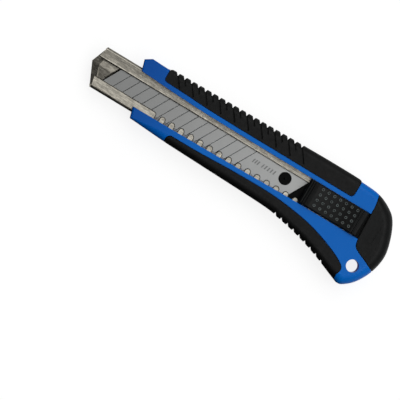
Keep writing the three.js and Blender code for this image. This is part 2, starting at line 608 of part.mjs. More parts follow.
function thumbSlider() {
  const top = FRONT + SLIDER_STANDS;
  const foot = SLIDER_BOTTOM + SLIDER_NOSE;
  const radius = SLIDER_REAR_RADIUS;
  const edge = 2 * RIB_HALF; // left before and behind each group of ribs
  const [x0, x1] = [SLIDER_START, SLIDER_END];
  const profile = new THREE.Shape();
  profile.moveTo(x0, SLIDER_BOTTOM);
  profile.lineTo(x1, SLIDER_BOTTOM);
  profile.lineTo(x1, top - radius);
  profile.quadraticCurveTo(x1, top, x1 - radius, top);
  addRibs(profile, [x1 - radius - RIB_HALF, top], [x1 - REST_LENGTH, top], 2);
  profile.quadraticCurveTo((x0 + x1) / 2, top - DISH_DEPTH, x0 + RAMP_LENGTH, top);
  addRibs(profile, [x0 + RAMP_LENGTH - RIB_HALF, top], [x0 + edge, foot + edge], 3);
  profile.lineTo(x0, foot);
  const low = WINDOW_FOOT.at(-1).y + SLIDER_SIDE_PLAY;
  const high = WINDOW_TOP.at(-1).y - SLIDER_SIDE_PLAY;
  const stop = SLIDER_FLOAT + FLOAT_CLEARANCE;
  const room = [x0 + NECK_FROM_FRONT - stop, x1 - NECK_FROM_REAR + stop];
  const mouth = NECK_HALF + SLIDER_PLAY;
  const chamber = FLANGE_HALF + SLIDER_PLAY;
  return alongY(profile, low, high)
    .subtract(box(...room, -mouth, mouth, SLIDER_BOTTOM - 1, FLANGE_LOW))
    .subtract(box(...room, -chamber, chamber,
      FLANGE_LOW - SLIDER_PLAY, FLANGE_LOW + FLANGE_THICKNESS + SLIDER_PLAY));
}

// Rounded ribs spaced evenly along a line of the profile.
function addRibs(profile, from, to, count) {
  const [a, b] = [new THREE.Vector2(...from), new THREE.Vector2(...to)];
  const step = b.clone().sub(a);
  const out = new THREE.Vector2(step.y, -step.x).normalize().multiplyScalar(2 * RIB_HALF);
  const flank = step.clone().normalize().multiplyScalar(RIB_HALF);
  for (let k = 0; k < count; k++) {
    const middle = a.clone().addScaledVector(step, (k + 0.5) / count);
    const [start, peak, end] = [middle.clone().sub(flank), middle.clone().add(out), middle.clone().add(flank)];
    profile.lineTo(start.x, start.y);
    profile.quadraticCurveTo(peak.x, peak.y, end.x, end.y);
  }
}

function endCap() {
  const shell = bodyHull.intersect(prism(capArea(0), -FAR, FAR));
  const front = TAIL - CAP_LENGTH;
  const hollow = box(0, front + CAP_HOLLOW, across(CAP_HOLLOW_FOOT), across(CAP_HOLLOW_TOP),
    BACK + CAP_WALL, FRONT - CAP_WALL);
  const plug = box(front - PLUG_LENGTH, front + CAP_HOLLOW + 1,
    -PLUG_WIDTH / 2, PLUG_WIDTH / 2, PLUG_Z.low + GAP, PLUG_Z.high - GAP);
  return shell.subtract(hollow).add(plug);
}

// ---- The knife -----------------------------------------------------------------------

const plastic = (color, roughness) => new THREE.MeshStandardMaterial({ color, roughness, metalness: 0 });
const steel = (color, roughness) => new THREE.MeshStandardMaterial({ color, roughness, metalness: 1 });

const blueAbs = plastic('#1560b4', 0.35);
const softGrip = plastic('#1e2020', 0.75);
const blackAbs = plastic('#1f2121', 0.5);
const brushedSteel = steel('#b4b0a4', 0.38);
const bladeSteel = steel('#9a9c9b', 0.3);
const springSteel = steel('#8f9092', 0.3);

const knife = new THREE.Group();
knife.add(
  part('handle_body', handleBody(), blueAbs),
  part('grip_overmould', gripOvermould(), softGrip),
  part('blade_channel', bladeChannel(), brushedSteel),
  part('blade', blade(), bladeSteel),
  part('blade_carrier', bladeCarrier(), blackAbs),
  part('lock_spring', lockSpring(), springSteel),
  part('thumb_slider', thumbSlider(), blackAbs),
  part('end_cap', endCap(), blackAbs),
);

// The part's origin is under its middle, on the surface it lies on.
const bounds = new THREE.Box3().setFromObject(knife);
const middle = bounds.getCenter(new THREE.Vector3());
knife.position.set(-middle.x, -middle.y, -bounds.min.z);

const root = new THREE.Group();
root.add(knife);
export default root;
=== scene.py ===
# Looks of a snap-off utility knife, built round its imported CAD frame.
#
# Shapes are worked out in knife millimetres: x from the tip of the steel channel to the
# tail, y from the channel's centre line towards the spine, and z up from the surface that
# the knife lies on. mesh_object() carries them to the frame, in metres.
import math
from contextlib import contextmanager

import bmesh
import bpy
import numpy as np
from bpy.props import FloatProperty, FloatVectorProperty, IntProperty, PointerProperty
from mathutils import Matrix, Vector


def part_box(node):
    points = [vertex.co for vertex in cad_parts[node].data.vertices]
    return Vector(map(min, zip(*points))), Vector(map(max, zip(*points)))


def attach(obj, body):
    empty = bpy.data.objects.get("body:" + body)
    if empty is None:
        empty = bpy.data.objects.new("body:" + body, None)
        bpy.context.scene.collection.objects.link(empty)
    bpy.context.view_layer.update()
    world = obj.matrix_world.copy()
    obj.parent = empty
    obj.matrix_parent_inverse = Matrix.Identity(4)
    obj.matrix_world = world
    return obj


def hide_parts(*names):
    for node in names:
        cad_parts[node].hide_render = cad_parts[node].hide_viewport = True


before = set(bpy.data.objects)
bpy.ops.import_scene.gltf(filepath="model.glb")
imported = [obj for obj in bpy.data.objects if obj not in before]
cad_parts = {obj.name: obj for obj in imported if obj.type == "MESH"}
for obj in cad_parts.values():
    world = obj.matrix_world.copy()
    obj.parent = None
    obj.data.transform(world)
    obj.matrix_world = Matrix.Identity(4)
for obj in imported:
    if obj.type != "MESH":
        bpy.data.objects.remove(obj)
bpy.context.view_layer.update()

bl_info = {
    "name": "Utility Knife",
    "version": (1, 0, 0),
    "blender": (4, 5, 0),
    "location": "View3D > Sidebar > Knife",
    "description": "Builds a snap-off utility knife round its CAD frame",
    "category": "Object",
}

MM = 0.001
FAR = 60.0  # reach of a cutter beyond the knife, in mm


def channel_origin():
    """The frame's point at the channel's tip, on its centre line, on the surface."""
    low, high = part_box("blade_channel")
    return Vector((low.x, (low.y + high.y) / 2, 0))


ORIGIN = channel_origin()


def knife_box(node):
    """A CAD node's lowest and highest corners in knife millimetres."""
    return [(corner - ORIGIN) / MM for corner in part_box(node)]


BODY_LOW, BODY_HIGH = knife_box("handle_body")
CHANNEL_LOW, CHANNEL_HIGH = knife_box("blade_channel")
BLADE_LOW, BLADE_HIGH = knife_box("blade")
SLIDER_LOW, SLIDER_HIGH = knife_box("thumb_slider")
CAP_LOW, CAP_HIGH = knife_box("end_cap")

BACK = BODY_LOW.z
FRONT = BODY_HIGH.z
LIP_TOP = CHANNEL_HIGH.z
CHANNEL_HALF = CHANNEL_HIGH.y
CHANNEL_BACK = CHANNEL_LOW.z + 0.6  # the back wall, above the boss pressed out of it
PLAY = 0.25  # clearance between pieces that touch

SLANT = 0.542  # run along the blade for each millimetre across it
BLADE_HALF = (BLADE_HIGH.y - BLADE_LOW.y) / 2
BLADE_FRONT = BLADE_LOW.x + SLANT * BLADE_HALF  # where the slanted ends cross its middle
BLADE_REAR = BLADE_HIGH.x - SLANT * BLADE_HALF
PIN = (BLADE_REAR - 7.85, 0.4)

# ---- Drawn curves, in knife millimetres ------------------------------------------------

NOSE_TOP = (20.7, 13.8)
NOSE_FOOT = (28.8, -12.8)
BODY_SPINE = [
    (24, 15.9), (33.5, 15.7), (53, 16.1), (105, 17.2), (121, 17.5), (135.3, 17.4),
]
GRIP_SPINE = [
    (24, 16.1), (33.5, 16.5), (53, 16.9), (105, 17.9), (121, 18.1), (135.3, 17.9),
]
TAIL_AND_BELLY = [
    (145.5, 16.5), (153, 13.2), (157.2, 9), (160.7, 1.2), (162.4, -7.1), (160.8, -15.8),
    (157, -23.1), (152.6, -27.3), (149.8, -28.3), (146.8, -27.3), (133.5, -22.3),
    (122, -18.9), (111, -16.7), (101, -15.4), (61, -14.3), (47.7, -13.9), (31, -12.9),
]
GRIP_FRONT_EDGE = [
    (33.6, 19), (32.6, 12.6), (34, 7), (39.2, 1.5), (43.8, -4.2), (46.2, -10), (47.9, -16),
]
GRIP_REAR_EDGE = [
    (135.3, 19), (135.8, 9), (138.1, 1.5), (144.4, -11), (147.7, -18.3), (148.6, -23),
    (147.9, -29),
]
SPINE_STRIP_EDGE = [(30, 10.4), (45, 9.9), (71, 9.2), (165, 9.2)]
BELLY_STRIP_EDGE = [
    (30, -10.2), (61, -10.1), (81, -9.3), (101, -9.1), (115, -10.3), (127, -12.5),
    (139, -16.5), (145.6, -19.7), (147.8, -22.4), (147, -25.6),
]
WINDOW_TOP = [(8, 9.1), (31, 8.1), (45, 7.4), (71, 6.9), (156, 6.9)]
WINDOW_FOOT = [(8, -7.6), (45, -7.4), (81, -6.9), (111, -6.3), (156, -6.1)]
CAP_EDGE = [
    (145.4, 22), (145.6, 16.6), (146.5, 12), (146.8, 7), (147.2, -2), (147.6, -6.4),
    (148.6, -9.4), (151, -11), (155, -12.7), (161, -15.4), (172, -20.2),
]
LANYARD = (151.6, -18)
FIRST_SPINE_NOTCH, FIRST_BELLY_NOTCH = 37.6, 108.8
BUMP_LINES = [  # each row's first and last x, and the line that it follows
    (44, 128, [(40, 8.3), (90, 8.5), (130, 8.7)]),
    (48, 132, [(40, 0.6), (90, 0.6), (134, -0.8)]),
    (52.2, 136.2, [(50, -6.8), (98, -6.9), (112, -8.2), (137, -13.1)]),
]
CORE_FRONT = (45, 1)  # the rounded edges draw in towards this line
CORE_REAR = (147, -6)

# ---- Settings --------------------------------------------------------------------------


def length(name, description, millimetres):
    """A size property whose default is given in millimetres."""
    return FloatProperty(
        name=name, description=description, default=millimetres * MM, unit="LENGTH",
        subtype="DISTANCE", precision=5,
    )


def colour(name, description, hex_code):
    """A colour property whose default is an sRGB hex value."""
    return FloatVectorProperty(
        name=name, description=description, default=linear(hex_code), subtype="COLOR",
        size=3, min=0.0, max=1.0,
    )


def linear(hex_code):
    """Linear red, green and blue of an sRGB hex value such as "1560B4"."""
    values = [int(hex_code[k:k + 2], 16) / 255 for k in (0, 2, 4)]
    return [v / 12.92 if v <= 0.04045 else ((v + 0.055) / 1.055) ** 2.4 for v in values]


class HandleSettings(bpy.types.PropertyGroup):
    """The two-material handle and its cap."""
    seam: length("Seam", "Gap where two materials meet", 0.3)
    edge: length("Edge", "Rounding of the small edges", 0.28)
    lanyard_radius: length("Lanyard hole", "Radius of the lanyard hole", 3.03)
    grip_back: length("Grip on the back", "Thickness of the soft grip on the back", 1.6)
    grip_side: length("Grip at the sides", "Thickness of the grip round the edges", 2.6)
    grip_front: length("Grip on the front", "Thickness of the two front strips", 2.0)
    notch_pitch: length("Notch pitch", "Spacing of the finger notches", 3.66)
    notch_depth: length("Notch depth", "Depth of the finger notches", 1.45)
    spine_notches: IntProperty(name="Spine notches", description="Notches on the spine", default=19)
    belly_notches: IntProperty(name="Belly notches", description="Notches on the belly", default=9)
    bump_pitch: length("Bump pitch", "Spacing of the bumps along a row", 8.4)
    bump_radius: length("Bump radius", "Radius of one dome", 1.55)
    blue: colour("Blue", "Moulded handle colour", "0178E3")
    rubber: colour("Rubber", "Soft grip colour", "0A0B0B")
    black: colour("Black", "Cap, slider and carrier colour", "0C0E0E")


class SteelSettings(bpy.types.PropertyGroup):
    """The channel and the blade."""
    sheet: length("Sheet", "Thickness of the channel's steel", 0.8)
    bend: length("Bend", "Outside radius of the channel's bends", 1.3)
    slot_half: length("Half slot", "Half the width of the channel's slot", 4.3)
    tooth_pitch: length("Tooth pitch", "Spacing of the lock's teeth", 5.1)
    tooth_width: length("Tooth width", "Width of one tooth", 3.0)
    score_pitch: length("Score pitch", "Spacing of the snapping lines", 5.2)
    scores: IntProperty(name="Scores", description="Snapping lines on the blade", default=14)
    channel_colour: colour("Channel", "Brushed steel", "B9B4A8")
    blade_colour: colour("Blade", "Ground blade steel", "A9AAA9")


class SliderSettings(bpy.types.PropertyGroup):
    """The thumb slider."""
    rib: length("Rib height", "Height of a thumb rib", 0.2)
    dot_radius: length("Dot radius", "Outside radius of a grip ring", 0.72)
    dish: length("Dish", "Depth of the hollow for the thumb", 0.8)


class StageSettings(bpy.types.PropertyGroup):
    """The floor, the lights and the camera."""
    floor: colour("Floor", "Pale light table", "F4F4F4")
    roll: FloatProperty(
        name="Roll", description="Turn of the overhead camera", default=math.radians(31.2),
        subtype="ANGLE",
    )
    field: length("Field", "Width of the view at the knife", 184)
    light: FloatProperty(name="Light", description="Strength of the studio's sky", default=2.25)


SETTINGS = {
    "knife_handle": HandleSettings,
    "knife_steel": SteelSettings,
    "knife_slider": SliderSettings,
    "knife_stage": StageSettings,
}

# ---- Curves and outlines ---------------------------------------------------------------


def spline(points, steps=10):
    """Points of a smooth curve through the given ones (uniform Catmull-Rom)."""
    p = np.array(points, float)
    last = len(p) - 1
    made = []
    for i in range(last):
        before, after = p[max(i - 1, 0)], p[min(i + 2, last)]
        leave, arrive = (p[i + 1] - before) / 2, (after - p[i]) / 2
        for t in np.arange(steps) / steps:
            made.append(
                (2 * p[i] - 2 * p[i + 1] + leave + arrive) * t ** 3
                + (3 * p[i + 1] - 3 * p[i] - 2 * leave - arrive) * t ** 2 + leave * t + p[i]
            )
    return np.array(made + [p[last]])


def read_off(line, x):
    """Height at x of a line of points, whichever way it runs."""
    order = np.argsort(line[:, 0])
    return np.interp(x, line[order, 0], line[order, 1])


def height_on(points, x):
    """Height at x of a curve that runs along the handle."""
    return read_off(spline(points), x)


def moved(points, dx, dy):
    return np.array(points, float) + (dx, dy)


def fillet(before, corner, after, radius, steps=8):
    """An arc that rounds the corner between two straight runs."""
    corner = np.array(corner, float)
    a = np.array(before, float) - corner
    b = np.array(after, float) - corner
    a /= np.linalg.norm(a)
    b /= np.linalg.norm(b)
    half = math.acos(np.clip(a @ b, -1, 1)) / 2
    centre = corner + (a + b) / np.linalg.norm(a + b) * radius / math.sin(half)
    start = corner + a * radius / math.tan(half) - centre
    end = corner + b * radius / math.tan(half) - centre
    sweep = math.pi - 2 * half
    return [
        centre + (start * math.sin((1 - t) * sweep) + end * math.sin(t * sweep)) / math.sin(sweep)
        for t in np.linspace(0, 1, steps + 1)
    ]


def outline(spine, steps=12):
    """The handle's outline anticlockwise, and each point's inner point."""
    rim = spline(spine + TAIL_AND_BELLY, steps)
    edge = np.vstack([NOSE_TOP, rim, NOSE_FOOT])[::-1]
    x = np.clip(edge[:, 0], CORE_FRONT[0], CORE_REAR[0])
    share = (x - CORE_FRONT[0]) / (CORE_REAR[0] - CORE_FRONT[0])
    y = CORE_FRONT[1] + share * (CORE_REAR[1] - CORE_FRONT[1])
    return edge, np.column_stack([x, y])


def edge_height(x, side):
    """Height of the grip's outline at x, on the spine (side 1) or the belly (side -1)."""
    edge, core = outline(GRIP_SPINE)
    near = edge[(edge[:, 1] - core[:, 1]) * side > 0]
    return read_off(near[near[:, 0] < CORE_REAR[0]], x)


# ---- Making meshes ---------------------------------------------------------------------


def scene_object(name, data):
    """An object at the frame's origin, linked to the scene."""
    made = bpy.data.objects.new(name, data)
    bpy.context.scene.collection.objects.link(made)
    return made


@contextmanager
def edited(mesh):
    """Opens a mesh for editing, and writes it back at the end."""
    edit = bmesh.new()
    edit.from_mesh(mesh)
    yield edit
    edit.to_mesh(mesh)
    edit.free()


def mesh_object(name, points, faces):
    """A mesh in the frame from knife millimetres, with its faces pointing out."""
    mesh = bpy.data.meshes.new(name)
    placed = [(ORIGIN.x + x * MM, ORIGIN.y + y * MM, ORIGIN.z + z * MM) for x, y, z in points]
    mesh.from_pydata(placed, [], [tuple(f) for f in faces])
    with edited(mesh) as edit:
        bmesh.ops.recalc_face_normals(edit, faces=edit.faces)
    return scene_object(name, mesh)


def skin(name, rings):
    """A closed body through rings of equal count, with flat ends."""
    count = len(rings[0])
    faces = [list(range(count))[::-1]]
    for j in range(len(rings) - 1):
        for i in range(count):
            a, b = j * count + i, j * count + (i + 1) % count
            faces.append([a, b, b + count, a + count])
    top = (len(rings) - 1) * count
    faces.append(list(range(top, top + count)))
    return mesh_object(name, np.vstack(rings), faces)


def prism(plan, low, high):
    """A plan shape raised from low to high."""
    plan = np.array(plan, float)
    return skin("prism", [np.column_stack([plan, np.full(len(plan), z)]) for z in (low, high)])


def block(x0, x1, y0, y1, z0, z1):
    return prism([(x0, y0), (x1, y0), (x1, y1), (x0, y1)], z0, z1)


def arc(x, y, radius, start, end, steps):
    """Points on an arc about (x, y), from one angle to another."""
    turn = np.linspace(start, end, steps + 1)
    return np.column_stack([x + radius * np.cos(turn), y + radius * np.sin(turn)])


def disc(x, y, radius, count=64):
    return arc(x, y, radius, 0, 2 * math.pi, count)[:-1]


def swept(section, x0, x1):
    """A section drawn in (y, z), run along the knife."""
    section = np.array(section, float)
    return skin("swept", [np.column_stack([np.full(len(section), x), section]) for x in (x0, x1)])


def slanted(x, z, section, reach):
    """A section drawn in (x, z), run across the knife along the blade's slant."""
    return skin("slanted", [
        [(x + SLANT * y + dx, y, z + dz) for dx, dz in section] for y in (-reach, reach)
    ])


def settle(piece):
    """Turns what the modifiers make into the piece's own mesh."""
    evaluated = piece.evaluated_get(bpy.context.evaluated_depsgraph_get())
    made = bpy.data.meshes.new_from_object(evaluated)
    made.name = piece.data.name
    piece.modifiers.clear()
    old = piece.data
    piece.data = made
    bpy.data.meshes.remove(old)
    return piece


def combine(piece, tool, operation):
    """Joins, cuts or intersects a piece with a tool, which is used up."""
    step = piece.modifiers.new("combine", "BOOLEAN")
    step.operation = operation
    step.object = tool
    step.solver = "MANIFOLD"
    bpy.context.view_layer.update()
    settle(piece)
    bpy.data.objects.remove(tool)
    return piece


def cut(piece, *tools):
    for tool in tools:
        combine(piece, tool, "DIFFERENCE")
    return piece


def join(piece, *tools):
    for tool in tools:
        combine(piece, tool, "UNION")
    return piece


def common(piece, tool):
    return combine(piece, tool, "INTERSECT")


def ease(piece, radius, chosen, segments=2, clamp=True):
    """Rounds the sharp edges whose two ends, in knife millimetres, are chosen."""
    flat, sharp = math.radians(0.2), math.radians(40)
    with edited(piece.data) as edit:
        bmesh.ops.dissolve_limit(edit, angle_limit=flat, verts=edit.verts, edges=edit.edges)
        edges = [
            edge for edge in edit.edges
            if len(edge.link_faces) == 2 and edge.calc_face_angle(0) >= sharp
            and all(chosen((vertex.co - ORIGIN) / MM) for vertex in edge.verts)
        ]
        bmesh.ops.bevel(
            edit, geom=edges, offset=radius * MM, segments=segments, profile=0.5,
            affect="EDGES", clamp_overlap=clamp,
        )


def on_flats(p):
    """Whether a point is on the handle's flat back or front."""
    return abs(p.z - FRONT) < 0.01 or abs(p.z - BACK) < 0.01


def finish_piece(piece, name, material, body, replaced=(), crease=35, crisp=None):
    """Names, shades and places a finished piece, and hides the CAD nodes that it replaces."""
    piece.name = piece.data.name = name
    piece.data.materials.clear()
    piece.data.materials.append(material)
    for face in piece.data.polygons:
        face.use_smooth = True
        face.material_index = 0
    sharpen(piece.data, crease, crisp)
    weigh = piece.modifiers.new("weighted normals", "WEIGHTED_NORMAL")
    weigh.keep_sharp = True
    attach(piece, body)
    if replaced:
        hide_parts(*replaced)
    return piece


def sharpen(mesh, crease, crisp=None):
    """Marks the edges that turn by more than crease degrees, or by 2 where they are crisp."""
    with edited(mesh) as edit:
        for edge in edit.edges:
            limit = crease
            if crisp and all(crisp((vertex.co - ORIGIN) / MM) for vertex in edge.verts):
                limit = 2
            turn = edge.calc_face_angle(0)
            edge.smooth = len(edge.link_faces) == 2 and turn < math.radians(limit)


# ---- Repeats by Geometry Nodes ---------------------------------------------------------


def repeat_tree():
    """A node tree that sets one piece along lines at an even spacing."""
    tree = bpy.data.node_groups.new("Repeat along rows", "GeometryNodeTree")
    inlets = {"Rows": "Geometry", "Piece": "Object", "Spacing": "Float", "Finish": "Material"}
    for name, kind in inlets.items():
        tree.interface.new_socket(name, in_out="INPUT", socket_type="NodeSocket" + kind)
    tree.interface.new_socket("Pieces", in_out="OUTPUT", socket_type="NodeSocketGeometry")
    inlet = add_node(tree, "NodeGroupInput")
    curves = add_node(tree, "GeometryNodeMeshToCurve", {"Mesh": inlet.outputs["Rows"]})
    spaced = add_node(
        tree, "GeometryNodeResampleCurve",
        {"Curve": curves.outputs[0], "Length": inlet.outputs["Spacing"]}, mode="LENGTH",
    )
    piece = add_node(tree, "GeometryNodeObjectInfo", {"Object": inlet.outputs["Piece"]})
    placed = add_node(
        tree, "GeometryNodeInstanceOnPoints",
        {"Points": spaced.outputs[0], "Instance": piece.outputs["Geometry"]},
    )
    real = add_node(tree, "GeometryNodeRealizeInstances", {"Geometry": placed.outputs[0]})
    painted = add_node(
        tree, "GeometryNodeSetMaterial",
        {"Geometry": real.outputs[0], "Material": inlet.outputs["Finish"]},
    )
    add_node(tree, "NodeGroupOutput", {"Pieces": painted.outputs[0]})
    return tree


def repeat(name, rows, piece, spacing, material):
    """Copies of a piece, drawn at the knife's origin, along rows of points."""
    piece.data.transform(Matrix.Translation(-ORIGIN))
    points, edges = [], []
    for row in rows:
        edges += [(len(points) + k, len(points) + k + 1) for k in range(len(row) - 1)]
        points += [ORIGIN + Vector(p) * MM for p in row]
    mesh = bpy.data.meshes.new(name)
    mesh.from_pydata(points, edges, [])
    made = scene_object(name, mesh)
    tree = bpy.data.node_groups.get("Repeat along rows") or repeat_tree()
    step = made.modifiers.new("repeat", "NODES")
    step.node_group = tree
    values = {"Piece": piece, "Spacing": spacing * MM, "Finish": material}
    for item in tree.interface.items_tree:
        if item.name in values:
            step[item.identifier] = values[item.name]
    settle(made)
    bpy.data.objects.remove(piece)
    return made


def lathe(profile, count=20):
    """A small turned piece about the z axis at the knife's origin, for repeat()."""
    rings = [
        np.column_stack([disc(0, 0, radius, count), np.full(count, z)]) for radius, z in profile
    ]
    piece = skin("turned", rings)
    with edited(piece.data) as edit:
        bmesh.ops.remove_doubles(edit, verts=edit.verts, dist=1e-7)
        bmesh.ops.recalc_face_normals(edit, faces=edit.faces)
    return piece


# ---- Materials -------------------------------------------------------------------------


def add_node(tree, kind, links=None, **settings):
    """Adds a node, sets its properties, and links or sets its inputs."""
    made = tree.nodes.new(kind)
    for key, value in settings.items():
        setattr(made, key, value)
    for key, value in (links or {}).items():
        socket = made.inputs[key]
        if isinstance(value, bpy.types.NodeSocket):
            tree.links.new(value, socket)
        else:
            socket.default_value = value
    return made


def rgba(values):
    return (*values, 1.0)


def shaded(values, factor):
    return rgba([min(1.0, v * factor) for v in values])


def new_material(name):
    """A new material, its node tree and its Object coordinates, in metres."""
    material = bpy.data.materials.new(name)
    material.use_nodes = True
    tree = material.node_tree
    tree.nodes.clear()
    return material, tree, add_node(tree, "ShaderNodeTexCoord").outputs["Object"]


def speckle(tree, place, grain, low=0.0, high=1.0, detail=3.0, stretch=None):
    """Noise whose grain is about this many mm, spread between two values."""
    if stretch:
        place = add_node(tree, "ShaderNodeMapping", {"Vector": place, "Scale": stretch}).outputs[0]
    noise = add_node(
        tree, "ShaderNodeTexNoise",
        {"Vector": place, "Scale": 1 / (grain * MM), "Detail": detail},
    )
    return add_node(
        tree, "ShaderNodeMapRange",
        {"Value": noise.outputs[0], "From Min": 0.3, "From Max": 0.7, "To Min": low, "To Max": high},
    ).outputs[0]


def fade(tree, place, start, end, curve="LINEAR"):
    """Rises from 0 to 1 between two places along the knife, in the frame's metres."""
    way = add_node(tree, "ShaderNodeSeparateXYZ", {0: place})
    return add_node(
        tree, "ShaderNodeMapRange",
        {"Value": way.outputs[0], "From Min": start, "From Max": end, "To Min": 0.0, "To Max": 1.0},
        interpolation_type=curve,
    ).outputs[0]


def surface(material, tones, dark, light, values, height=None, depth=0):
    """Ends a material: its colour goes from dark to light by the product of its tones.

    The values set or link the shader's other inputs, and the relief is depth mm high.
    """
    tree = material.node_tree
    tone = tones[0]
    for other in tones[1:]:
        product = add_node(tree, "ShaderNodeMath", {0: tone, 1: other}, operation="MULTIPLY")
        tone = product.outputs[0]
    mix = add_node(tree, "ShaderNodeMix", {0: tone, 6: dark, 7: light}, data_type="RGBA")
    links = {"Base Color": mix.outputs[2], **values}
    if height is not None:
        bump = add_node(
            tree, "ShaderNodeBump", {"Height": height, "Distance": depth * MM, "Strength": 1.0},
        )
        links["Normal"] = bump.outputs[0]
    shader = add_node(tree, "ShaderNodeBsdfPrincipled", links)
    add_node(tree, "ShaderNodeOutputMaterial", {"Surface": shader.outputs[0]})
    return material


ABS_IOR = 1.53


def moulded_abs(base):
    """Injection-moulded blue ABS: a satin skin that shows soft, slightly uneven highlights, with painted
    shade that darkens it towards the nose.
    """
    material, tree, place = new_material("Moulded ABS, satin blue")
    # painted shade: the first tone fades the blue down to deep towards the nose
    tones = [fade(tree, place, -0.062, -0.012, "SMOOTHSTEP"), speckle(tree, place, 14, 0.94, 1.05)]
    deep = rgba([base[0] * 0.6, base[1] * 0.55, base[2] * 0.66])
    rough = speckle(tree, place, 2.5, 0.30, 0.38)
    values = {"Roughness": rough, "IOR": ABS_IOR, "Specular IOR Level": 0.12}
    return surface(material, tones, deep, rgba(base), values, speckle(tree, place, 0.5), 0.006)


def soft_rubber(base):
    """Overmoulded thermoplastic rubber: a matt black skin with a faint sheen and fine grain."""
    material, tree, place = new_material("Soft-touch TPE, matt black")
    rough = speckle(tree, place, 1.5, 0.50, 0.62)
    return surface(
        material, [speckle(tree, place, 9)], shaded(base, 0.85), shaded(base, 1.2),
        {"Roughness": rough, "IOR": 1.5, "Specular IOR Level": 0.24},
        speckle(tree, place, 0.35), 0.012,
    )


def textured_abs(base):
    """Spark-textured black ABS: an even, fine grain that breaks up the highlights."""
    material, tree, place = new_material("Textured ABS, black")
    rough = speckle(tree, place, 1.2, 0.40, 0.52)
    return surface(
        material, [speckle(tree, place, 6)], shaded(base, 0.85), shaded(base, 1.25),
        {"Roughness": rough, "IOR": ABS_IOR, "Specular IOR Level": 0.17},
        speckle(tree, place, 0.4), 0.02,
    )


def glossy_abs(base):
    """Smooth black ABS inside the channel: deep black, with small clear highlights."""
    material, tree, place = new_material("Moulded ABS, gloss black")
    rough = speckle(tree, place, 2, 0.26, 0.34)
    return surface(
        material, [speckle(tree, place, 5)], shaded(base, 0.3), shaded(base, 0.4),
        {"Roughness": rough, "IOR": ABS_IOR, "Specular IOR Level": 0.05},
    )


def painted_highlight_abs(base):
    """Black ABS worn smooth by the thumb, coloured many times lighter than the black as painted highlights
    on the small rims.
    """
    material, tree, place = new_material("Moulded ABS, polished black")
    values = {"Roughness": speckle(tree, place, 1, 0.22, 0.34), "IOR": ABS_IOR}
    # painted highlight: the rings' colour is 18 to 42 times the plain black
    return surface(material, [speckle(tree, place, 1.5)], shaded(base, 18), shaded(base, 42), values)


def brushed_steel(base):
    """Rolled sheet steel, brushed lengthwise: warm grey with fine streaks and handling marks."""
    material, tree, place = new_material("Brushed sheet steel")
    streak = speckle(tree, place, 0.5, 0.3, 1.0, 4.0, (0.1, 1, 1))
    blotch = speckle(tree, place, 0.9, 0.4, 1.0, 5.0, (0.6, 1, 1))
    values = {"Metallic": 1.0, "Roughness": speckle(tree, place, 0.8, 0.24, 0.40, 3.0, (0.2, 1, 1))}
    dark, light = shaded(base, 0.3), shaded(base, 1.18)
    return surface(material, [streak, blotch], dark, light, values, blotch, 0.02)


def blade_steel(base):
    """Ground carbon steel: a flat, fine grey with grinding lines across the strip, and a painted
    reflection that darkens it towards the tip.
    """
    material, tree, place = new_material("Ground carbon steel")
    streak = speckle(tree, place, 0.35, 0.96, 1.0, 3.0, (1, 0.08, 1))
    # painted reflection: the steel's colour darkens towards the tip
    painted_reflection_fade = fade(tree, place, -0.075, 0.02)
    values = {"Metallic": 1.0, "Roughness": speckle(tree, place, 5, 0.34, 0.40)}
    dark, light = shaded(base, 0.64), shaded(base, 0.94)
    return surface(material, [painted_reflection_fade, streak], dark, light, values, streak, 0.001)


def etched_steel(base):
    """Etched steel: the same metal bitten dull and dark."""
    material, tree, place = new_material("Etched steel")
    values = {"Metallic": 0.8, "Roughness": 0.6}
    return surface(material, [speckle(tree, place, 0.4)], shaded(base, 0.45), shaded(base, 0.7), values)


def spring_steel(base):
    """Bright spring steel: smooth and cool, with faint rolling lines."""
    material, tree, place = new_material("Spring steel, bright")
    streak = speckle(tree, place, 0.4, stretch=(0.1, 1, 1))
    values = {"Metallic": 1.0, "Roughness": speckle(tree, place, 1, 0.24, 0.34)}
    return surface(material, [streak], shaded(base, 0.8), shaded(base, 1.05), values)


def light_table(base):
    """Opal acrylic light table: pale, matt and lit from below, so that shadows stay faint."""
    material, tree, place = new_material("Opal acrylic light table")
    values = {"Roughness": 0.9, "Emission Color": (1, 1, 1, 1), "Emission Strength": 0.84}
    return surface(material, [speckle(tree, place, 40)], shaded(base, 0.33), shaded(base, 0.35), values)


def shared(name, maker, colour_name):
    """The material of that name, made once from one of the handle's colours."""
    base = list(getattr(bpy.context.scene.knife_handle, colour_name))
    return bpy.data.materials.get(name) or maker(base)


def blue_plastic():
    return shared("Moulded ABS, satin blue", moulded_abs, "blue")


def black_plastic():
    return shared("Textured ABS, black", textured_abs, "black")


def gloss_black():
    return shared("Moulded ABS, gloss black", glossy_abs, "black")


def rubber():
    return shared("Soft-touch TPE, matt black", soft_rubber, "rubber")


# ---- Handle, grip and cap --------------------------------------------------------------


def edge_rounds(edge):
    """Rounding of the back and the front edge at each outline point, in mm."""
    away = np.clip((edge[:, 0] - BODY_LOW.x - 6) / 14, 0, 1)
    belly = np.clip((-edge[:, 1] - 8) / 4, 0, 1) * np.clip((148 - edge[:, 0]) / 14, 0, 1)
    back = 1.2 + (2.0 + 2.3 * belly) * away
    front = 1.0 + 2.3 * away + np.clip((edge[:, 0] - 144) / 8, 0, 1) * 1.9
    return back, front


def pillow(spine, inset, low, high, steps=8):
    """A closed body with the handle's plan and rounded upper and lower edges."""
    edge, core = outline(spine)
    back, front = edge_rounds(edge)
    reach = np.linalg.norm(core - edge, axis=1)
    turns = np.linspace(0, math.pi / 2, steps + 1)
    levels = [(back * (1 - math.sin(t)), low + back * (1 - math.cos(t))) for t in turns]
    levels += [(front * (1 - math.cos(t)), high - front * (1 - math.sin(t))) for t in turns]
    return skin("pillow", [
        np.column_stack([edge + (core - edge) * ((inset + step) / reach)[:, None], z])
        for step, z in levels
    ])


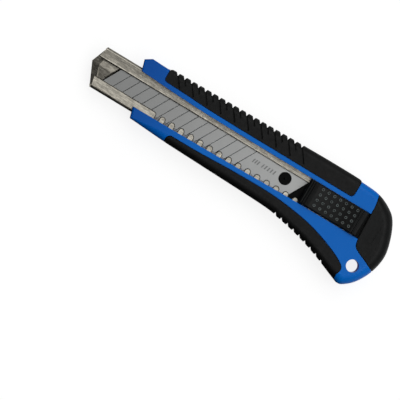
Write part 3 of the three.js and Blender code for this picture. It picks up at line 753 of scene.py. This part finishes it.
def grip_area(grow):
    """Plan of the soft grip, between its front and rear edges."""
    ahead = moved(spline(GRIP_FRONT_EDGE), -grow, 0)
    behind = moved(spline(GRIP_REAR_EDGE), grow, 0)[::-1]
    foot = [(ahead[-1][0], -FAR), (behind[0][0], -FAR)]
    head = [(behind[-1][0], FAR), (ahead[0][0], FAR)]
    return np.vstack([ahead, foot, behind, head])


def strip_between(line, x0, x1, outside, radius_front, radius_rear, grow):
    """Plan of a front strip from x0 to x1 between its inner edge and beyond the outline."""
    side = math.copysign(1, outside)
    points = moved(spline(line), 0, -side * grow)
    inner = points[(points[:, 0] > x0 + radius_front) & (points[:, 0] < x1 - radius_rear)]
    x0, x1 = x0 - grow, x1 + grow
    start = (x0, height_on(line, x0) - side * grow)
    end = (x1, height_on(line, x1) - side * grow)
    ahead = fillet((x0, outside), start, inner[0], radius_front)
    behind = fillet(inner[-1], end, (x1, outside), radius_rear)
    return np.vstack([[(x0, outside)], ahead, inner, behind, [(x1, outside)]])


def spine_strip(grow):
    return strip_between(SPINE_STRIP_EDGE, 33.6, 135.3, FAR, 1.5, 1.8, grow)


def belly_strip(grow):
    """Plan of the belly strip: round at its front end, and led into the tail behind."""
    line = moved(spline(BELLY_STRIP_EDGE), 0, grow)
    x0 = 47.9 - grow
    inner = line[line[:, 0] > x0 + 2.6]
    ahead = fillet((x0, -FAR), (x0, height_on(BELLY_STRIP_EDGE, x0) + grow), inner[0], 2.4)
    tail = moved([BELLY_STRIP_EDGE[-1]], grow, 0)
    return np.vstack([[(x0, -FAR)], ahead, inner[:-1] + (grow / 2, 0), tail, [(tail[0][0], -FAR)]])


def cap_area(grow):
    edge = moved(spline(CAP_EDGE), -grow, -grow)
    reach = BODY_HIGH.x + FAR
    return np.vstack([edge, [(reach, edge[-1][1]), (reach, edge[0][1])]])


def rim_low(s):
    """Height at which the front layer of the handle begins."""
    return FRONT - s.grip_front / MM - 1


def build_handle(s):
    seam, rim = s.seam / MM, rim_low(s)
    body = pillow(BODY_SPINE, 0, BACK, FRONT)
    cut(
        body,
        prism(grip_area(seam), -FAR, rim),
        prism(spine_strip(seam), rim - PLAY, FAR),
        prism(belly_strip(seam), rim - PLAY, FAR),
    )
    join(body, pillow(
        GRIP_SPINE, s.grip_side / MM + PLAY, BACK + s.grip_back / MM + PLAY,
        FRONT - s.grip_front / MM - PLAY, 4,
    ))
    half = CHANNEL_HALF + PLAY
    window = np.vstack([spline(WINDOW_TOP), spline(WINDOW_FOOT)[::-1]])
    cut(
        body,
        prism(cap_area(seam), -FAR, FAR),
        block(0, WINDOW_TOP[-1][0], -half, half, CHANNEL_BACK - PLAY, LIP_TOP + PLAY),
        prism(window, LIP_TOP - 0.8, FAR),
        prism(disc(*LANYARD, s.lanyard_radius / MM), -FAR, FAR),
    )
    ease(body, s.edge / MM, on_flats)
    return finish_piece(body, "handle_shell", blue_plastic(), "handle", ["handle_body"])


def tooth_line(first, count, pitch, depth, side, x_end):
    """Plan of the waste cut from the grip's edge: rounded saw teeth.

    Each is steep towards the tail on the spine, and towards the tip on the belly.
    """
    last = first + (count - 1) * pitch
    xs = np.arange(first - 2.2, min(last + 2.2, x_end), 0.12)
    phase = (xs - first + pitch / 2) % pitch - pitch / 2
    rise = np.where(phase * side < 0, 1.3, 0.6)
    valley = (1 - np.clip((np.abs(phase) - 0.06) / rise, 0, 1)) ** 1.4
    inside = (xs > first - 2) & (xs < last + 2)
    edge = np.array([edge_height(x, side) for x in xs])
    cutline = edge + side * 0.06 - side * (depth + 0.06) * valley * inside
    outer = [(xs[-1], edge[-1] + side * 6), (xs[0], edge[0] + side * 6)]
    return np.vstack([np.column_stack([xs, cutline]), outer])


def build_grip(s):
    grip = common(pillow(GRIP_SPINE, 0, BACK, FRONT), grip_plan_solid(rim_low(s) - PLAY))
    inner = (s.grip_side / MM, BACK + s.grip_back / MM, FRONT - s.grip_front / MM)
    pitch, depth = s.notch_pitch / MM, s.notch_depth / MM
    blunt_front = [(33, 15.42), (34.9, 16.75), (34.9, 19), (33, 19)]
    blunt_rear = [(134.2, 18.05), (135.6, 17.3), (135.6, 19.5), (134.2, 19.5)]
    cut(
        grip,
        pillow(GRIP_SPINE, *inner, 4),
        prism(tooth_line(FIRST_SPINE_NOTCH, s.spine_notches, pitch, depth, 1, 140), -FAR, FAR),
        prism(tooth_line(FIRST_BELLY_NOTCH, s.belly_notches, pitch, depth, -1, 145), -FAR, FAR),
        prism(blunt_front, -FAR, FAR),
        prism(blunt_rear, -FAR, FAR),
        *face_grooves(s),
    )
    ease(grip, s.edge / MM, on_flats)
    return finish_piece(grip, "soft_grip", rubber(), "handle", ["grip_overmould"])


def grip_plan_solid(low):
    """Everything that the grip may fill: its whole plan below, and two strips in front."""
    solid = prism(grip_area(0), -FAR, low)
    overlap = 0.01
    join(solid, prism(spine_strip(0), low - overlap, FAR))
    join(solid, prism(belly_strip(0), low - overlap, FAR))
    return solid


def face_grooves(s):
    """Slanted grooves that run down from the spine's notches, on the front and the back."""
    made = []
    for k in range(s.spine_notches):
        x = FIRST_SPINE_NOTCH + k * s.notch_pitch / MM
        start = edge_height(x, 1) - 1.2
        long_one = k % 2 == 0
        run = start - 10.6 if long_one else 2.4
        made.append(groove(x, start, x + 0.75 * run, start - run, 0.42, FRONT - 1.6, FAR))
        if long_one:
            made.append(groove(x, start, x + 1.9, start - 3.2, 0.36, -FAR, BACK + 1.1))
    return made


def groove(x0, y0, x1, y1, half, low, high):
    """A narrow straight slot in plan with a round foot."""
    left = math.atan2(y1 - y0, x1 - x0) + math.pi / 2
    across = half * np.array([math.cos(left), math.sin(left)])
    start = np.array([x0, y0])
    foot = arc(x1, y1, half, left, left - math.pi, 6)
    return prism([start + across, *foot, start - across], low, high)


def build_bumps(s):
    """Flat-topped domes in low rings, in three rows along the back."""
    radius = s.bump_radius / MM
    profile = [(0, 0)]
    for turn in np.linspace(0.25, math.pi / 2, 6):
        profile.append((radius * math.sin(turn) ** 0.6, BACK * (1 - math.cos(turn))))
    ring = [  # steps out from the dome and up from the back
        (0, 0.25), (0.2, 0.25), (0.24, -0.05), (0.36, -0.12), (0.5, -0.08), (0.64, 0.02), (0.64, 0.4),
    ]
    profile += [(radius + out, BACK + up) for out, up in ring]
    rows = []
    for first, last, line in BUMP_LINES:
        rows.append([(x, height_on(line, x), 0) for x in np.linspace(first, last, 40)])
    pitch = s.bump_pitch / MM * 0.999  # a hair less, so that a row keeps its last bump
    bumps = repeat("grip_bumps", rows, lathe(profile), pitch, rubber())
    return finish_piece(bumps, "grip_bumps", rubber(), "handle")


def build_cap(s):
    """The tail cap with its plug, a dark ledge behind the slider and a plain arrow."""
    cap = common(pillow(BODY_SPINE, 0, BACK, FRONT), prism(cap_area(0), -FAR, FAR))
    wall = 2.2
    plug_end = CAP_LOW.x + 23.5
    ledge = CHANNEL_HIGH.x + 0.4
    mark_low = FRONT - 0.3
    cut(cap, block(0, plug_end - 1, -5, 8, BACK + wall, FRONT - wall))
    join(
        cap,
        block(CAP_LOW.x, plug_end, -4.5, 4.5, BACK + 3.1, LIP_TOP - 5.3),
        block(ledge, ledge + 3, -5.8, 6.6, BACK + 6, LIP_TOP - 0.1),
    )
    cut(
        cap,
        prism([(153.2, -5), (153.7, -5), (153.7, 1.5), (153.2, 1.5)], mark_low, FAR),
        prism([(152.3, 2.2), (154.6, 2.2), (153.45, 4.4)], mark_low, FAR),
    )
    ease(cap, s.edge / MM, on_flats)
    return finish_piece(cap, "tail_cap", black_plastic(), "cap", ["end_cap"])


# ---- Steel -----------------------------------------------------------------------------


def rounded_rectangle(half, low, high, radius, steps=8):
    """A section in (y, z) with round corners."""
    side, quarter = half - radius, math.pi / 2
    corners = [
        (side, low + radius, -quarter), (side, high - radius, 0), (-side, high - radius, quarter),
        (-side, low + radius, 2 * quarter),
    ]
    return np.vstack([arc(y, z, radius, turn, turn + quarter, steps) for y, z, turn in corners])


def slot_plan(s):
    """Plan of the channel's slot with the lock's teeth along its lower side."""
    half, radius, pitch = s.slot_half / MM, s.tooth_width / MM / 2, s.tooth_pitch / MM
    foot = -half - 3.4
    hook = SLIDER_LOW.x + 6.35  # where the lock's hook rests
    teeth = math.floor((hook - 37) / pitch)
    lip_end = hook - teeth * pitch - (pitch - 2 * radius) / 2
    corner = 1.4  # radius at the lip's end
    end_round = arc(lip_end - corner, -half - corner, corner, math.pi / 2, 0, 6)
    plan = [(-FAR, half), (-FAR, -half), *end_round, (lip_end, foot)]
    tooth = hook - (teeth - 0.5) * pitch
    while tooth + radius < CHANNEL_HIGH.x - 2:
        tip = arc(tooth, -half - radius, radius, math.pi, 0, 12)
        plan += [(tooth - radius, foot), *tip, (tooth + radius, foot)]
        tooth += pitch
    end = CHANNEL_HIGH.x + FAR
    return plan + [(end, foot), (end, half)]


# Pressed facets in the channel's nose: each corner's place and its depth, in mm.
FACETS = [
    (5.4, 8.2, 0.34), (12.7, 7.1, 0.4), (10.4, 0.6, 0.02), (13.6, -6.4, 0.02), (7.4, -7.8, 0.66),
    (3.9, 1.1, 0.34),
]


def pressing(grow, low, top):
    """A body with the facets' plan, whose underside dips by their depths below low."""
    middle = np.mean([(x, y) for x, y, _ in FACETS], axis=0)
    points = []
    for x, y, depth in FACETS:
        out = np.array([x, y]) - middle
        px, py = np.array([x, y]) + out / np.linalg.norm(out) * grow
        points.append((px, py, low - depth))
    points += [(x, y, top) for x, y, _ in points]
    faces = [(0, 1, 2, 5), (5, 2, 3, 4), (6, 11, 8, 7), (11, 10, 9, 8)]
    faces += [(k, 6 + k, 6 + (k + 1) % 6, (k + 1) % 6) for k in range(6)]
    return mesh_object("pressing", points, faces)


def nose_wedge(side, level, slope, top):
    """A body above one half of the nose's flare, which falls from a slanted line."""
    tip_x, tip_y = 3.9, 1.1
    reach = 8.7 * side
    spread = 0.39 if side > 0 else 0.32
    near = tip_y - 0.01 * side
    plan = [(tip_x, near), (tip_x + spread * abs(reach - tip_y), reach), (-3, reach), (-3, near)]
    return skin("wedge", [
        [(x, y, level - slope * (tip_x + spread * abs(y - tip_y) - x)) for x, y in plan],
        [(x, y, top) for x, y in plan],
    ])


def droop(channel, hinge, slot):
    """Thins the two lips towards the slot; the upper one rises again at its edge."""
    fall, rise, crest = 0.07, 0.5, slot + 0.9
    with edited(channel.data) as edit:
        top = {f for f in edit.faces if all(v.co.z / MM > LIP_TOP - 0.01 for v in f.verts)}
        parts = top | {e for f in top for e in f.edges} | {v for f in top for v in f.verts}
        bmesh.ops.bisect_plane(
            edit, geom=list(parts), plane_co=ORIGIN + Vector((0, crest, 0)) * MM,
            plane_no=(0, 1, 0), dist=1e-7,
        )
        for vertex in edit.verts:
            _, y, z = (vertex.co - ORIGIN) / MM
            if z > LIP_TOP - 0.5 and abs(y) < hinge:
                depth = fall * (hinge - abs(y))
                if 0 < y < crest:
                    depth -= rise * (crest - y)
                vertex.co.z -= depth * MM


def build_channel(s):
    sheet, bend = s.sheet / MM, s.bend / MM
    floor, inside = CHANNEL_BACK + sheet, LIP_TOP - sheet
    half, end = CHANNEL_HALF, CHANNEL_HIGH.x
    channel = swept(rounded_rectangle(half, CHANNEL_BACK, LIP_TOP, bend), -1, end)
    cut(channel, swept(rounded_rectangle(half - sheet, floor, inside, bend - sheet), -3, end + 3))
    for side in (1, -1):
        join(channel, nose_wedge(side, CHANNEL_BACK, 0.14, CHANNEL_BACK + 0.3))
        cut(channel, nose_wedge(side, floor, 0.2, floor + 1))
    nose = [
        (3.3, half), (0, 1.1), (5.2, -half), (5.2, -FAR), (end + 5, -FAR), (end + 5, FAR), (3.3, FAR),
    ]
    common(channel, prism(nose, -FAR, FAR))
    trim = [
        (3.5, half), (1.9, 4.6), (4.4, -4.4), (5.7, -half), (5.7, -FAR), (-FAR, -FAR), (-FAR, FAR),
        (3.5, FAR),
    ]
    cut(channel, prism(trim, inside, FAR), prism(slot_plan(s), inside - 0.2, FAR))
    join(channel, pressing(0.4, CHANNEL_BACK, floor - 0.2))
    step = [(-1.35, 0), (0.4, -0.68), (0.4, 0.3), (-1.35, 0.3)]  # down, just ahead of the blade
    cut(channel, pressing(0, floor, floor + 0.5), slanted(BLADE_FRONT, floor, step, 6.5))
    ease(channel, 0.36, lambda p: p.z > LIP_TOP - 0.01, 1, False)
    droop(channel, half - bend, s.slot_half / MM)
    return finish_piece(
        channel, "steel_channel", brushed_steel(list(s.channel_colour)), "handle",
        ["blade_channel"], crisp=lambda p: p.x < 16 and p.z < floor + 0.05 and abs(p.y) < 8.7,
    )


def build_blade(s):
    low, top = BLADE_LOW.z, BLADE_HIGH.z
    middle = (low + top) / 2
    land = 0.03  # half the edge's thickness
    ground = 3.0 - BLADE_HALF  # the edge is ground over 3 mm
    section = [
        (-BLADE_HALF, middle - land), (ground, low), (BLADE_HALF, low), (BLADE_HALF, top),
        (ground, top), (-BLADE_HALF, middle + land),
    ]
    ends = ((BLADE_FRONT, -FAR), (BLADE_REAR, -FAR), (BLADE_REAR, FAR), (BLADE_FRONT, FAR))
    plan = [(x + SLANT * y, y) for x, y in ends]
    blade = common(swept(section, BLADE_FRONT - FAR, BLADE_REAR + FAR), prism(plan, -FAR, FAR))
    cut(blade, prism(disc(*PIN, 3.05), -FAR, FAR))
    score = [(-0.4, 0.14), (0, -0.14), (0.4, 0.14)]
    for k in range(1, s.scores + 1):
        cut(blade, slanted(BLADE_FRONT + k * s.score_pitch / MM, top, score, 14))
    return finish_piece(
        blade, "snap_blade", blade_steel(list(s.blade_colour)), "carrier", ["blade"],
        crease=4,
    )


def build_etching(s):
    """Plain bars where the blade is marked."""
    w, h, lean = 0.275, 1.0, SLANT / 2
    bar = prism([(-w - lean, -h), (w - lean, -h), (w + lean, h), (lean - w, h)], 0, 0.03)
    rows = [
        [(BLADE_REAR - back, 0.1, BLADE_HIGH.z) for back in span] for span in ((24.5, 22), (19.6, 13.4))
    ]
    steel = etched_steel(list(s.blade_colour))
    marks = repeat("blade_etching", rows, bar, 1.25, steel)
    return finish_piece(marks, "blade_etching", steel, "carrier")


# ---- Carrier, spring and slider --------------------------------------------------------


def build_carrier():
    """Black carrier with its pin, keeping the CAD node's sizes."""
    side = CHANNEL_HALF - 1.3
    low, high = knife_box("blade_carrier")
    tongue_top = low.z + 0.65
    pin_top = BLADE_HIGH.z + 0.35
    foot, head = [(BLADE_REAR + SLANT * y + PLAY, y) for y in (-side, side)]
    body = prism([foot, (high.x, -side), (high.x, side), head], low.z, LIP_TOP - 0.8 - PLAY)
    join(
        body,
        block(low.x, BLADE_REAR + SLANT * side, -4.2, 5, low.z, tongue_top),
        prism(disc(*PIN, 2.75), low.z + 0.3, pin_top),
        prism(disc(*PIN, 0.6), low.z + 0.3, pin_top + 0.3),
    )
    spring_low, spring_high = knife_box("lock_spring")
    cut(body, block(
        spring_low.x - 0.5, spring_high.x + 0.5, spring_low.y - PLAY, spring_high.y + PLAY,
        spring_low.z - PLAY, FAR,
    ))
    neck = (SLIDER_LOW.x + 7.5, SLIDER_HIGH.x - 7)
    join(
        body, block(*neck, -3.2, 3.2, tongue_top, high.z - 0.5),
        block(*neck, -4.2, 4.2, high.z - 1, high.z),
    )
    ease(body, 0.2, lambda p: p.z > low.z + 0.1)
    return finish_piece(
        body, "carrier_body", gloss_black(), "carrier", ["blade_carrier"],
    )


def slider_height(x, s):
    """The slider's crown along its length: a ribbed ramp, a dish and two rear ribs."""
    run, left = x - SLIDER_LOW.x, SLIDER_HIGH.x - x
    crown = FRONT + 1.9 - 0.7 * np.clip(1 - run / 5, 0, 1) ** 1.5
    crown = crown + 0.3 * np.clip((run - 20) / 8, 0, 1)
    dished = np.clip((run - 5) / (SLIDER_HIGH.x - SLIDER_LOW.x - 9.4), 0, 1)
    crown = crown - s.dish / MM * np.sin(math.pi * dished)
    for rib_x, width in ((0.9, 0.3), (2.0, 0.3), (3.1, 0.3), (27.2, 0.35), (28.5, 0.35)):
        crown = crown + s.rib / MM * np.clip(1 - ((run - rib_x) / width) ** 2, 0, 1)
    for away, radius in ((run, 0.6), (left, 1.2)):
        turn = np.clip(1 - away / radius, 0, 1)
        crown = crown - radius * (1 - np.sqrt(1 - turn ** 2))
    return crown


def build_slider(s):
    """The slider's ribbed crown with soft long edges, hollow over the carrier's neck."""
    x0, x1, low = SLIDER_LOW.x, SLIDER_HIGH.x, SLIDER_LOW.z
    # painted shade: the black slider is widened over the gap at each side, where there is only shade
    shade_skirt = 0.28  # covers most of the play at each side
    y0, y1 = SLIDER_LOW.y - shade_skirt, SLIDER_HIGH.y + shade_skirt
    soft = 0.8  # rounding along the two long edges
    xs = np.concatenate([
        np.linspace(x0, x0 + 6, 73), np.linspace(x0 + 6.4, x1 - 5.4, 40), np.linspace(x1 - 5, x1, 71),
    ])
    turn = np.linspace(0, math.pi / 2, 7)
    ys = np.concatenate([y0 + soft * (1 - np.cos(turn)), y1 - soft * (1 - np.sin(turn))])
    fall = soft * np.concatenate([1 - np.sin(turn), 1 - np.cos(turn)])
    slider = skin("slider", [
        [*[(x, y, z - f) for y, f in zip(ys, fall)], (x, y1, low), (x, y0, low)]
        for x, z in zip(xs, slider_height(xs, s))
    ])
    room = (x0 + 6.5, x1 - 6)
    carrier_top = knife_box("blade_carrier")[1].z
    cut(
        slider, block(*room, -3.5, 3.5, low - 1, low + 1.1),
        block(*room, -4.5, 4.5, low + 0.8, carrier_top + 0.3),
    )
    return finish_piece(
        slider, "thumb_slider_body", black_plastic(), "slider", ["thumb_slider"],
    )


def build_slider_rings(s):
    """Grip rings in four rows on the slider's dish."""
    radius = s.dot_radius / MM
    ring = lathe([
        (radius, -0.3), (radius, 0.16), (radius - 0.07, 0.26), (radius - 0.18, 0.3),
        (radius - 0.30, 0.26), (radius - 0.37, 0.16), (radius - 0.39, -0.3),
    ], 16)
    rows = []
    for y in (5.0, 2.2, -0.6, -3.4):
        xs = np.linspace(SLIDER_LOW.x + 7.2, SLIDER_LOW.x + 25.6, 24)
        rows.append([(x, y, slider_height(np.array([x]), s)[0]) for x in xs])
    # painted highlight: this material lightens the rings' rims
    finish = shared("Moulded ABS, polished black", painted_highlight_abs, "black")
    rings = repeat("slider_rings", rows, ring, 3.05, finish)
    return finish_piece(rings, "slider_rings", finish, "slider")


# ---- Stage -----------------------------------------------------------------------------


def studio_world(s):
    """A soft sky: a bright ring of light overhead that fades to the nose side and to the horizon."""
    world = bpy.data.worlds.new("studio")
    world.use_nodes = True
    tree = world.node_tree
    tree.nodes.clear()
    place = add_node(tree, "ShaderNodeTexCoord")
    way = add_node(tree, "ShaderNodeSeparateXYZ", {0: place.outputs["Generated"]})
    ring = add_node(tree, "ShaderNodeFloatCurve", {"Value": way.outputs[2]})
    levels = ring.mapping.curves[0].points
    wanted = [(0, 0.1), (0.4, 0.08), (0.64, 0.15), (0.84, 0.51), (0.95, 0.53), (1, 0.47)]
    for point, (height, level) in zip(levels, wanted):
        point.location = (height, level)
    for height, level in wanted[len(levels):]:
        levels.new(height, level)
    ring.mapping.update()
    side = add_node(
        tree, "ShaderNodeVectorMath", {0: place.outputs["Generated"], 1: (0.75, 0.6, 0)},
        operation="DOT_PRODUCT",
    )
    share = add_node(
        tree, "ShaderNodeMapRange",
        {"Value": side.outputs["Value"], "From Min": -0.2, "From Max": 0.2, "To Min": 0.05, "To Max": 1.6},
        interpolation_type="SMOOTHSTEP",
    )
    level = add_node(
        tree, "ShaderNodeMath", {0: ring.outputs[0], 1: share.outputs[0]}, operation="MULTIPLY",
    )
    strength = add_node(
        tree, "ShaderNodeMath", {0: level.outputs[0], 1: s.light}, operation="MULTIPLY",
    )
    sky = add_node(
        tree, "ShaderNodeBackground", {"Color": (1, 1, 1, 1), "Strength": strength.outputs[0]},
    )
    add_node(tree, "ShaderNodeOutputWorld", {"Surface": sky.outputs[0]})
    return world


def build_stage(s):
    reach = 3.0  # half the floor's width, in metres
    corners = [(-reach, -reach, 0), (reach, -reach, 0), (reach, reach, 0), (-reach, reach, 0)]
    floor = bpy.data.meshes.new("floor")
    floor.from_pydata(corners, [], [(0, 1, 2, 3)])
    floor.materials.append(light_table(list(s.floor)))
    table = scene_object("floor", floor)
    table.visible_glossy = False
    table.visible_diffuse = False
    bpy.context.scene.world = studio_world(s)
    lens = bpy.data.cameras.new("camera")
    lens.sensor_width = 36
    lens.lens = 260
    camera = scene_object("camera", lens)
    distance = s.field * lens.lens / lens.sensor_width
    camera.location = (-0.0052, -0.02325, distance + (LIP_TOP + 1.5) * MM)
    camera.rotation_euler = (0, 0, s.roll)
    bpy.context.scene.camera = camera
    bpy.context.scene.view_settings.view_transform = "Standard"


# ---- Operators -------------------------------------------------------------------------


class KNIFE_OT_handle(bpy.types.Operator):
    """Build the blue handle shell"""
    bl_idname = "knife.handle"
    bl_label = "Handle"

    def execute(self, context):
        build_handle(context.scene.knife_handle)
        return {"FINISHED"}


class KNIFE_OT_grip(bpy.types.Operator):
    """Build the soft grip and its bumps"""
    bl_idname = "knife.grip"
    bl_label = "Soft grip"

    def execute(self, context):
        build_grip(context.scene.knife_handle)
        build_bumps(context.scene.knife_handle)
        return {"FINISHED"}


class KNIFE_OT_cap(bpy.types.Operator):
    """Build the end cap"""
    bl_idname = "knife.cap"
    bl_label = "End cap"

    def execute(self, context):
        build_cap(context.scene.knife_handle)
        return {"FINISHED"}


class KNIFE_OT_channel(bpy.types.Operator):
    """Build the steel channel"""
    bl_idname = "knife.channel"
    bl_label = "Channel"

    def execute(self, context):
        build_channel(context.scene.knife_steel)
        return {"FINISHED"}


class KNIFE_OT_blade(bpy.types.Operator):
    """Build the blade and its etched bars"""
    bl_idname = "knife.blade"
    bl_label = "Blade"

    def execute(self, context):
        build_blade(context.scene.knife_steel)
        build_etching(context.scene.knife_steel)
        return {"FINISHED"}


class KNIFE_OT_carrier(bpy.types.Operator):
    """Build the blade carrier and finish its spring"""
    bl_idname = "knife.carrier"
    bl_label = "Carrier"

    def execute(self, context):
        build_carrier()
        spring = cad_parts["lock_spring"]
        spring.data.materials.clear()
        spring.data.materials.append(spring_steel(list(context.scene.knife_steel.blade_colour)))
        return {"FINISHED"}


class KNIFE_OT_slider(bpy.types.Operator):
    """Build the thumb slider and its rings"""
    bl_idname = "knife.slider"
    bl_label = "Thumb slider"

    def execute(self, context):
        build_slider(context.scene.knife_slider)
        build_slider_rings(context.scene.knife_slider)
        return {"FINISHED"}


class KNIFE_OT_stage(bpy.types.Operator):
    """Build the floor, the lights and the camera"""
    bl_idname = "knife.stage"
    bl_label = "Stage"

    def execute(self, context):
        build_stage(context.scene.knife_stage)
        return {"FINISHED"}


class KNIFE_PT_panel(bpy.types.Panel):
    """Lists the knife's pieces"""
    bl_idname = "KNIFE_PT_panel"
    bl_label = "Utility knife"
    bl_space_type = "VIEW_3D"
    bl_region_type = "UI"
    bl_category = "Knife"

    def draw(self, context):
        for operator in OPERATORS:
            self.layout.operator(operator.bl_idname)
        for group in SETTINGS:
            box = self.layout.box()
            values = getattr(context.scene, group)
            for key in values.__annotations__:
                box.prop(values, key)


OPERATORS = [
    KNIFE_OT_stage, KNIFE_OT_handle, KNIFE_OT_grip, KNIFE_OT_cap, KNIFE_OT_channel,
    KNIFE_OT_blade, KNIFE_OT_carrier, KNIFE_OT_slider,
]


def register():
    for made in (*SETTINGS.values(), *OPERATORS, KNIFE_PT_panel):
        bpy.utils.register_class(made)
    for name, group in SETTINGS.items():
        setattr(bpy.types.Scene, name, PointerProperty(type=group))


def unregister():
    for name in SETTINGS:
        delattr(bpy.types.Scene, name)
    for made in reversed((*SETTINGS.values(), *OPERATORS, KNIFE_PT_panel)):
        bpy.utils.unregister_class(made)


def main():
    register()
    for operator in OPERATORS:
        group, name = operator.bl_idname.split(".")
        getattr(getattr(bpy.ops, group), name)()


if __name__ == "__main__":
    main()
